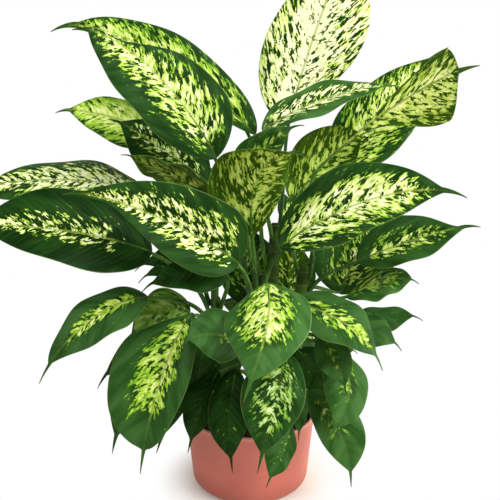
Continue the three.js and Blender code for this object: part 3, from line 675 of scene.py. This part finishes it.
def make_soil(material):
    """The filling: a turned body whose top sinks towards its edge and is lumpy, with crumbs lying on it."""
    inside_floor = pot_radius(EDGE_ROUND) - POT_WALL - EDGE_ROUND + POT_FLOOR - 2 * SEAT_GAP
    edge = pot_radius(SOIL_TOP) - POT_WALL - 2 * SEAT_GAP
    top_radius = np.linspace(edge, SOIL_CENTRE_RING, SOIL_TOP_RINGS)
    below = [(SOIL_CENTRE_RING, POT_FLOOR + SEAT_GAP), (inside_floor, POT_FLOOR + SEAT_GAP),
             (pot_radius(EDGE_ROUND) - POT_WALL - 2 * SEAT_GAP, EDGE_ROUND)]
    crown = np.stack([top_radius, SOIL_TOP - soil_drop(top_radius, edge)], axis=-1)
    outline = np.concatenate([below, crown])
    points = spin(outline, SOIL_SIDES)
    top = points[len(below):]
    fade = np.clip((edge - top_radius) / LUMP_MARGIN, 0, 1)[:, None]
    top[..., 2] += fade * bumps(top[..., 0], top[..., 1]) - LUMP_SETTLING * fade
    points = points.reshape(-1, 3)
    crumbs, crumb_faces = crumb_shapes(edge, len(points))
    add_piece("potting_soil", np.concatenate([points, crumbs]),
              lathe_faces(len(outline), SOIL_SIDES) + crumb_faces, "soil", [material])


def crumb_shapes(edge, start):
    """Small eight-sided lumps: each is an octahedron stretched and turned by seeded draws, half sunk."""
    random = np.random.default_rng(CRUMB_SEED)
    corner = np.array([(1, 0, 0), (0, 1, 0), (-1, 0, 0), (0, -1, 0), (0, 0, 1), (0, 0, -1)], float)
    sides = np.array([(0, 1, 4), (1, 2, 4), (2, 3, 4), (3, 0, 4), (1, 0, 5), (2, 1, 5), (3, 2, 5), (0, 3, 5)])
    distance = (edge - LUMP_MARGIN) * np.sqrt(random.uniform(0, 1, CRUMB_COUNT))
    turn = random.uniform(0, 2 * np.pi, CRUMB_COUNT)
    size = random.uniform(*CRUMB_SIZE, (CRUMB_COUNT, 1, 3))
    spin_by = random.uniform(0, 2 * np.pi, CRUMB_COUNT)
    c, s = np.cos(spin_by)[:, None], np.sin(spin_by)[:, None]
    shape = corner[None] * size
    x = shape[..., 0] * c - shape[..., 1] * s + (distance * np.cos(turn))[:, None]
    y = shape[..., 0] * s + shape[..., 1] * c + (distance * np.sin(turn))[:, None]
    z = shape[..., 2] + (SOIL_TOP - soil_drop(distance, edge))[:, None]
    firsts = start + len(corner) * np.arange(CRUMB_COUNT)
    faces = (sides[None] + firsts[:, None, None]).reshape(-1, 3).tolist()
    return np.stack([x, y, z], axis=-1).reshape(-1, 3), faces


# ---- materials


def colour(hex_code):
    """sRGB hex to linear red, green, blue, alpha."""
    channels = [int(hex_code[i:i + 2], 16) / 255 for i in (1, 3, 5)]
    return (*[c / 12.92 if c <= 0.04045 else ((c + 0.055) / 1.055) ** 2.4 for c in channels], 1)


class Finish:
    """The node tree of one procedural material, or of the room round it all."""

    def __init__(self, name, owners=bpy.data.materials):
        self.owner = owners.new(name)
        self.owner.use_nodes = True
        self.tree = self.owner.node_tree
        self.tree.nodes.clear()

    def add(self, kind, inputs=(), out=0, stops=(), **settings):
        """Add a node with its settings and ramp stops, feed its inputs, and give one output (None: all).

        The inputs come in order or by key. Each is another node's output, a value, or a colour's hex code.
        """
        node = self.tree.nodes.new("ShaderNode" + kind)
        for key, value in settings.items():
            setattr(node, key, value)
        for key, value in (inputs if isinstance(inputs, dict) else dict(enumerate(inputs))).items():
            if isinstance(value, bpy.types.NodeSocket):
                self.tree.links.new(value, node.inputs[key])
            else:
                node.inputs[key].default_value = colour(value) if isinstance(value, str) else value
        for index, (at, hex_code) in enumerate(stops):
            ends = index in (0, len(stops) - 1)
            stop = node.color_ramp.elements[-1 if index else 0] if ends else node.color_ramp.elements.new(at)
            stop.position = at
            stop.color = colour(hex_code)
        return node.outputs if out is None or not node.outputs else node.outputs[out]


SMOOTH = {"interpolation_type": "SMOOTHSTEP"}
TIMES, PLUS, MINUS = {"operation": "MULTIPLY"}, {"operation": "ADD"}, {"operation": "SUBTRACT"}
SCALE_AND_ADD = {"operation": "MULTIPLY_ADD"}
BLEND = {"data_type": "RGBA", "out": 2}

# Across and along the side veins, in mm: the flecks of cream, and the clouds that they gather in.
FLECK = (2.6, 3.2)
CLOUD = (6.8, 8.2)


def leaf_face(name, dark, olive, fringe, shaded_cream, lit_cream, rib, roughness):
    """A waxy living leaf face: dark green, broken cream patches, and yellow-green between the two.

    To the eye the patches are ragged islands drawn out along the side veins, which leave the midrib forward
    at about 50 degrees: flecks 2.6 mm wide and 3.2 mm long inside clouds 7 mm wide and 8 mm long. A point is
    cream where a random height falls under the leaf's share of cream there. The cream is palest inside a
    patch near the midrib and turns lime at its edge and towards the margin. The green is deepest among the
    patches, and elsewhere drifts between two shades over about 20 mm. The midrib is an olive line, the
    margin a thin pale edge, and the point is dry and brown.

    dark and olive are the greens of a dark and of a light leaf, fringe is the yellow-green beside the cream,
    the two cream ramps are the cream as painted in shade and in full light, mixed by the leaf's glow, which
    is painted light, and rib is the colour of the veins.
    """
    n = Finish(name)
    vein, place, look = (n.add("Attribute", out=1, attribute_name=key) for key in ("vein", "place", "look"))
    along, across, _ = n.add("SeparateXYZ", [vein], None)
    u, out, share = n.add("SeparateXYZ", [place], None)
    # tone is how light the green is: the leaf's own green, and painted shade on leaves in shade. glow is
    # painted light and shade: how lit the cream and midrib are painted.
    yellow, green_tone_and_shade, glow = n.add("SeparateXYZ", [look], None)
    spot = n.add("TexCoord", out=3)

    # The random height: flecks inside clouds.
    wide = n.add("Mapping", {0: vein, 3: (1 / CLOUD[0], 1 / CLOUD[1], 1)})
    clouds = n.add("TexNoise", {"Vector": wide, "Scale": 1.0, "Detail": 2.5, "Roughness": 0.6}, "Color")
    cloud, tint_cloud, _ = n.add("SeparateColor", [clouds], None)
    ground = n.add("TexNoise", {"Vector": wide, "Scale": 0.4, "Detail": 1.0})
    small = n.add("Mapping", {0: vein, 3: (1 / FLECK[0], 1 / FLECK[1], 1)})
    warp = n.add("TexNoise", {"Vector": small, "Scale": 0.8, "Roughness": 0.6}, "Color")
    bent = n.add("VectorMath", [warp, (2.6, 2.2, 0.0), small], **SCALE_AND_ADD)
    cells = n.add("TexVoronoi", {"Vector": bent, "Scale": 1.0}, "Color")
    cell, tint_cell, _ = n.add("SeparateColor", [cells], None)
    clouded = n.add("Math", [cloud, 1.45, -0.435], **SCALE_AND_ADD)
    height = n.add("Math", [cell, 0.42, clouded], **SCALE_AND_ADD)
    field = n.add("Math", [share, height], **MINUS)

    # The greens, deepest among the patches, with a yellow-green edge to some flecks.
    patchy = n.add("MapRange", [ground, 0.3, 0.7], **SMOOTH)
    body = n.add("Mix", {0: patchy, 6: dark[0], 7: dark[1]}, **BLEND)
    light_green = n.add("Mix", {0: patchy, 6: olive[0], 7: olive[1]}, **BLEND)
    deep = n.add("MapRange", [share, 0.2, 0.5, 0.0, 0.65], **SMOOTH)
    near = n.add("MapRange", [field, -0.13, -0.01], **SMOOTH)
    some = n.add("MapRange", [tint_cell, 0.4, 0.8, 0.0, 0.75], **SMOOTH)
    edge = n.add("Math", [near, some], **TIMES)
    patch = n.add("MapRange", [field, -0.008, 0.008], **SMOOTH)

    # How pale the cream is: less near the margin and in a yellow leaf, more inside a patch.
    ripe = n.add("Math", [yellow, -0.75, 0.66], **SCALE_AND_ADD)
    pale = n.add("Math", [out, -0.35, ripe], **SCALE_AND_ADD)
    pale = n.add("Math", [n.add("MapRange", [tint_cloud, 0.3, 0.7, -0.35, 0.35]), pale], **PLUS)
    pale = n.add("Math", [tint_cell, 0.3, pale], **SCALE_AND_ADD)
    pale = n.add("Math", [n.add("MapRange", [field, 0.0, 0.22, -0.32, 0.12], **SMOOTH), pale], **PLUS)
    pale = n.add("Math", [n.add("MapRange", [share, 0.45, 0.75, 0.0, 0.3]), pale], **PLUS)
    shaded, lit = (n.add("ValToRGB", [pale], stops=stops) for stops in (shaded_cream, lit_cream))
    # Painted shade: the cream takes its shaded colours where the leaf's glow is low, its lit colours where it
    # is high.
    cream = n.add("Mix", {0: glow, 6: shaded, 7: lit}, **BLEND)

    # The midrib, the side veins, the margin and the dry point.
    middle = n.add("MapRange", [n.add("Math", [across], operation="ABSOLUTE"), 1.7, 0.7], **SMOOTH)
    fading = n.add("MapRange", [u, 1.0, 0.75, 0.0, 0.65], **SMOOTH)
    # Painted light: the midrib line is stronger on leaves with a high glow and fainter on leaves painted as
    # in shade.
    clear = n.add("Math", [n.add("MapRange", [share, 0.1, 0.4, 0.2, 1.0], **SMOOTH), glow], **TIMES)
    line = n.add("Math", [n.add("Math", [middle, fading], **TIMES), clear], **TIMES)
    side = n.add("Math", [n.add("Math", [along, 2 * math.pi / VEIN_SPACING], **TIMES)], operation="COSINE")
    threads = n.add("Math", [n.add("MapRange", [side, 0.93, 1.0], **SMOOTH),
                             n.add("MapRange", [out, 0.95, 0.5, 0.0, 0.1], **SMOOTH)], **TIMES)
    margin = n.add("MapRange", [out, 0.97, 1.0, 0.0, 0.4], **SMOOTH)
    point = n.add("MapRange", [u, 0.965, 0.995], **SMOOTH)
    # Painted shade: the tone keeps leaves that lie in shade at the dark greens, beside giving each leaf its
    # own green.
    for where, shade in ((green_tone_and_shade, light_green), (deep, dark[0]), (edge, fringe), (patch, cream),
                         (line, rib), (threads, rib), (margin, "#86A457"), (point, "#5B4428")):
        body = n.add("Mix", {0: where, 6: body, 7: shade}, **BLEND)

    # The skin: cells about 1 mm wide, drawn coarse enough to show, and a wax that is uneven over 8 mm.
    grain = n.add("TexNoise", {"Vector": spot, "Scale": 900.0})
    relief = n.add("Math", [side, 0.06, n.add("Math", [grain, 0.5], **TIMES)], **SCALE_AND_ADD)
    bump = n.add("Bump", {"Height": relief, "Strength": 0.2, "Distance": 0.0006})
    polish = n.add("TexNoise", {"Vector": spot, "Scale": 120.0})
    sheen = n.add("MapRange", [polish, 0.3, 0.7, roughness - 0.05, roughness + 0.07], **SMOOTH)
    n.add("OutputMaterial", [n.add("BsdfPrincipled", {
        "Base Color": body, "Roughness": sheen, "Normal": bump, "Specular IOR Level": 0.04})])
    return n.owner


def upper_face():
    """The upper face: deep green, under a cream that runs from lime to nearly white."""
    shaded_cream = [(0.0, "#517D24"), (0.35, "#6F9A3A"), (0.7, "#94B662"), (1.0, "#B4CD8C")]
    lit_cream = [(0.0, "#7CAB29"), (0.3, "#B0D24F"), (0.6, "#D9EA88"), (0.95, "#F5F9CE")]
    return leaf_face("leaf_upper_face", ("#0E2A09", "#1D4114"), ("#356227", "#4E7B3E"), "#5F9626",
                     shaded_cream, lit_cream, "#8C9F42", 0.42)


def under_face():
    """The underside: paler and duller, with the same patches seen through it."""
    shaded_cream = [(0.0, "#66842A"), (0.5, "#8DA940"), (1.0, "#B4CE64")]
    lit_cream = [(0.0, "#A2C040"), (0.5, "#D2E870"), (1.0, "#F6FDAC")]
    return leaf_face("leaf_underside", ("#213E08", "#38590D"), ("#3F6214", "#54781F"), "#64862A",
                     shaded_cream, lit_cream, "#5E7B28", 0.5)


def stalk_skin():
    """Smooth fleshy stalk: mid green, clouded darker, with paler flecks 2.4 mm wide and 10 mm long."""
    n = Finish("leaf_stalk_skin")
    spot = n.add("TexCoord", out=3)
    stretched = n.add("Mapping", {0: spot, 3: (1, 1, 0.25)})
    flecks = n.add("TexNoise", {"Vector": stretched, "Scale": 420.0, "Roughness": 0.6})
    cloud = n.add("TexNoise", {"Vector": spot, "Scale": 25.0, "Detail": 1.0})
    clouding = n.add("MapRange", [cloud, 0.35, 0.65], **SMOOTH)
    pale = n.add("MapRange", [flecks, 0.58, 0.7, 0.0, 0.5], **SMOOTH)
    body = n.add("Mix", {0: clouding, 6: "#416B22", 7: "#264917"}, **BLEND)
    body = n.add("Mix", {0: pale, 6: body, 7: "#8FB058"}, **BLEND)
    bump = n.add("Bump", {"Height": flecks, "Strength": 0.15, "Distance": 0.0004})
    n.add("OutputMaterial", [n.add("BsdfPrincipled", {
        "Base Color": body, "Roughness": 0.42, "Normal": bump, "IOR": 1.42, "Specular IOR Level": 0.2})])
    return n.owner


def cane_bark():
    """Young green cane: a smooth skin, browner low down, with a faint tan ring at each leaf scar."""
    n = Finish("green_cane_bark")
    spot = n.add("TexCoord", out=3)
    rise = n.add("SeparateXYZ", [spot], 2)
    cloud = n.add("TexNoise", {"Vector": spot, "Scale": 60.0, "Detail": 3.0, "Roughness": 0.6})
    clouding = n.add("MapRange", [cloud, 0.4, 0.62], **SMOOTH)
    low = n.add("MapRange", [rise, 0.14, 0.075, 0.0, 0.7], **SMOOTH)
    wander = n.add("Math", [cloud, 2.0], **TIMES)
    turns = n.add("Math", [rise, 2 * math.pi / (SCAR_SPACING * MM), wander], **SCALE_AND_ADD)
    ring = n.add("Math", [turns], operation="COSINE")
    scar = n.add("MapRange", [ring, 0.9, 1.0, 0.0, 0.15], **SMOOTH)
    body = "#213910"
    for where, shade in ((clouding, "#37521A"), (low, "#66593A"), (scar, "#8F8A58")):
        body = n.add("Mix", {0: where, 6: body, 7: shade}, **BLEND)
    relief = n.add("Math", [cloud, ring], **PLUS)
    bump = n.add("Bump", {"Height": relief, "Strength": 0.25, "Distance": 0.0006})
    n.add("OutputMaterial", [n.add("BsdfPrincipled", {
        "Base Color": body, "Roughness": 0.55, "Normal": bump, "Specular IOR Level": 0.1})])
    return n.owner


def potting_soil():
    """Damp peat: near black brown and matt, in 6 mm lumps, with a few lighter grains of 1.4 mm."""
    n = Finish("damp_potting_soil")
    spot = n.add("TexCoord", out=3)
    lumps = n.add("TexNoise", {"Vector": spot, "Scale": 180.0, "Detail": 4.0, "Roughness": 0.7})
    grains = n.add("TexNoise", {"Vector": spot, "Scale": 700.0, "Detail": 3.0, "Roughness": 0.7})
    clouding = n.add("MapRange", [lumps, 0.35, 0.7], **SMOOTH)
    pale = n.add("MapRange", [grains, 0.66, 0.74, 0.0, 0.8], **SMOOTH)
    body = n.add("Mix", {0: clouding, 6: "#17110C", 7: "#3A2B1E"}, **BLEND)
    body = n.add("Mix", {0: pale, 6: body, 7: "#6B5A44"}, **BLEND)
    relief = n.add("Math", [grains, 0.6, lumps], **SCALE_AND_ADD)
    bump = n.add("Bump", {"Height": relief, "Strength": 0.9, "Distance": 0.002})
    n.add("OutputMaterial", [n.add("BsdfPrincipled", {
        "Base Color": body, "Roughness": 0.92, "Normal": bump})])
    return n.owner


def pot_plastic():
    """Injection-moulded polypropylene, terracotta pink: satin, with a moulded grain of 0.7 mm.

    It is faintly clouded over 45 mm and stained by dust at the foot. Painted shade makes it darker and
    redder towards the foot, and a painted highlight makes it paler along the rim.
    """
    n = Finish("moulded_polypropylene")
    spot = n.add("TexCoord", out=3)
    rise = n.add("SeparateXYZ", [spot], 2)
    cloud = n.add("TexNoise", {"Vector": spot, "Scale": 22.0, "Detail": 3.0, "Roughness": 0.55})
    fine = n.add("TexNoise", {"Vector": spot, "Scale": 1400.0})
    stain = n.add("TexNoise", {"Vector": spot, "Scale": 70.0, "Detail": 5.0, "Roughness": 0.7})
    clouding = n.add("MapRange", [cloud, 0.3, 0.7], **SMOOTH)
    # Painted shade: the wall turns darker and redder towards the foot.
    foot = n.add("MapRange", [rise, 0.032, 0.0, 0.0, 0.6], **SMOOTH)
    # Painted highlight: a pale band along the rounded lip.
    painted_rim_highlight = n.add("MapRange", [rise, 0.08, 0.086, 0.0, 0.45], **SMOOTH)
    dust = n.add("Math", [n.add("MapRange", [stain, 0.6, 0.72], **SMOOTH),
                          n.add("MapRange", [rise, 0.03, 0.0, 0.0, 0.3], **SMOOTH)], **TIMES)
    body = "#AF5043"
    for where, shade in ((clouding, "#BA5D50"), (foot, "#93402F"), (painted_rim_highlight, "#DC9A8E"), (dust, "#8E6A5C")):
        body = n.add("Mix", {0: where, 6: body, 7: shade}, **BLEND)
    bump = n.add("Bump", {"Height": fine, "Strength": 0.08, "Distance": 0.0002})
    satin = n.add("MapRange", [cloud, 0.3, 0.7, 0.36, 0.46], **SMOOTH)
    n.add("OutputMaterial", [n.add("BsdfPrincipled", {
        "Base Color": body, "Roughness": satin, "Normal": bump, "IOR": 1.49, "Specular IOR Level": 0.8})])
    return n.owner


# ---- camera, floor and light


SENSOR_WIDTH = 36.0
FOCAL_PIXELS = 687
FRAME_PIXELS = 500
CAMERA_PLACE = (0, -0.748, 0.434)
CAMERA_TILT = 78
NEAREST = 0.01


def camera():
    """The photo's view: from the front, 434 mm up, looking 12 degrees down."""
    data = bpy.data.cameras.new("camera")
    data.sensor_width = SENSOR_WIDTH
    data.lens = SENSOR_WIDTH * FOCAL_PIXELS / FRAME_PIXELS
    data.clip_start = NEAREST
    eye = add_object("camera", data)
    eye.location = CAMERA_PLACE
    eye.rotation_euler = (math.radians(CAMERA_TILT), 0, 0)
    bpy.context.scene.camera = eye


PALE_ROOM = "#FFFFFF"
FLOOR_REACH = 40.0
# How far from the pot's axis, in metres, the floor starts and ends its fade into the room.
FLOOR_FADE = (0.055, 0.115)


def floor():
    """A matt white floor that takes the object's shadow and fades into the pale room round it."""
    n = Finish("matt_white_floor")
    distance = n.add("VectorMath", [n.add("TexCoord", out=3)], "Value", operation="LENGTH")
    matt = n.add("BsdfDiffuse", {"Color": "#F5EEE2"})
    glow = n.add("Emission", {"Color": PALE_ROOM})
    seen = n.add("LightPath", out="Is Camera Ray")
    share = n.add("Math", [n.add("MapRange", [distance, *FLOOR_FADE], **SMOOTH), seen], **TIMES)
    n.add("OutputMaterial", [n.add("MixShader", [share, matt, glow])])
    mesh = bpy.data.meshes.new("floor")
    corners = [(x * FLOOR_REACH, y * FLOOR_REACH, 0) for x, y in ((-1, -1), (1, -1), (1, 1), (-1, 1))]
    mesh.from_pydata(corners, [], [(0, 1, 2, 3)])
    mesh.materials.append(n.owner)
    ground = add_object("floor", mesh)


# Each lamp: name, place, target and size in metres, power in watts, colour.
LAMPS = (
    ("window", (1.2, -1.0, 1.6), (0, 0, 0.3), 1.4, 47, "#FFFDF6"),
    ("fill", (-1.5, -0.9, 1.2), (0, 0, 0.3), 1.0, 14, "#FFFFFF"),
    ("back", (-0.3, 1.4, 1.8), (0, 0, 0.3), 1.0, 5, "#FFFFFF"),
    ("low", (1.4, 0.1, 0.3), (0, 0, 0.1), 0.7, 13, "#FFFFFF"),
)
# The room's strength as a light and as the camera sees it, and what reflections take off it.
ROOM_LIGHT = 0.36
ROOM_SEEN = 1.0
ROOM_IN_GLOSS = -0.24


def light():
    """Round soft lamps, the strongest at the front right, and a pale room that shows as white."""
    n = Finish("pale_room", bpy.data.worlds)
    rays = n.add("LightPath", out=None)
    strength = n.add("MapRange", {"Value": rays["Is Camera Ray"], "To Min": ROOM_LIGHT, "To Max": ROOM_SEEN})
    softened = n.add("Math", [rays["Is Glossy Ray"], ROOM_IN_GLOSS, strength], **SCALE_AND_ADD)
    n.add("OutputWorld", [n.add("Background", {"Color": PALE_ROOM, "Strength": softened})])
    bpy.context.scene.world = n.owner
    for name, place, target, size, power, shade in LAMPS:
        data = bpy.data.lights.new(name, "AREA")
        data.shape = "DISK"
        data.size = size
        data.energy = power
        data.color = colour(shade)[:3]
        lamp = add_object(name, data)
        lamp.location = place
        direction = Vector(np.array(target) - np.array(place))
        lamp.rotation_euler = direction.to_track_quat("-Z", "Y").to_euler()


camera()
light()
floor()

leaf_materials = [upper_face(), under_face(), stalk_skin()]
for index, row in enumerate(LEAVES):
    make_leaf(Leaf(row, index), leaf_materials)
bark = cane_bark()
for name in CANES:
    make_cane(name, bark)
make_soil(potting_soil())
make_pot(pot_plastic())

bpy.context.scene.view_settings.view_transform = "Standard"
